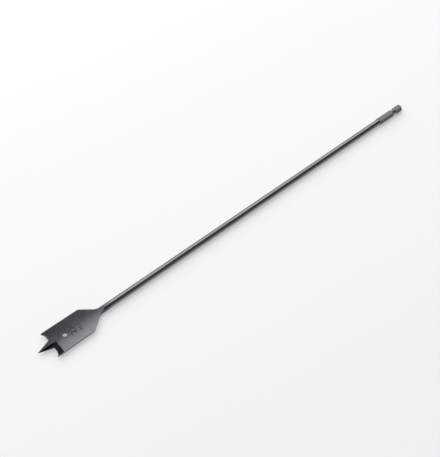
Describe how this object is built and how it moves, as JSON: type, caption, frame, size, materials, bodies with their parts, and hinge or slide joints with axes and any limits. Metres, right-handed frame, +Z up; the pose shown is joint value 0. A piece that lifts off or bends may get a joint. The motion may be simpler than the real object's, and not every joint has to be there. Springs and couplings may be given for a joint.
{
  "type": "spade drill bit",
  "caption": "Long spade drill bit for wood: flat winged blade with a centre point, spurs and a pull hole, on a round rod with a hexagon quick-change shank.",
  "frame": {"origin": "middle of the length on the surface that the lower flat of the hexagon shank lies on", "axes": "+X along the bit from the tip towards the shank, +Z up through the level blade, +Y across the blade"},
  "size_m": [0.4, 0.025, 0.0063],
  "materials": {
    "tool_steel": "forged and blasted dark blade with ground cutting edges, smooth drawn rod and shank"
  },
  "bodies": {
    "root": {"spade_bit": "tool_steel"}
  },
  "joints": []
}
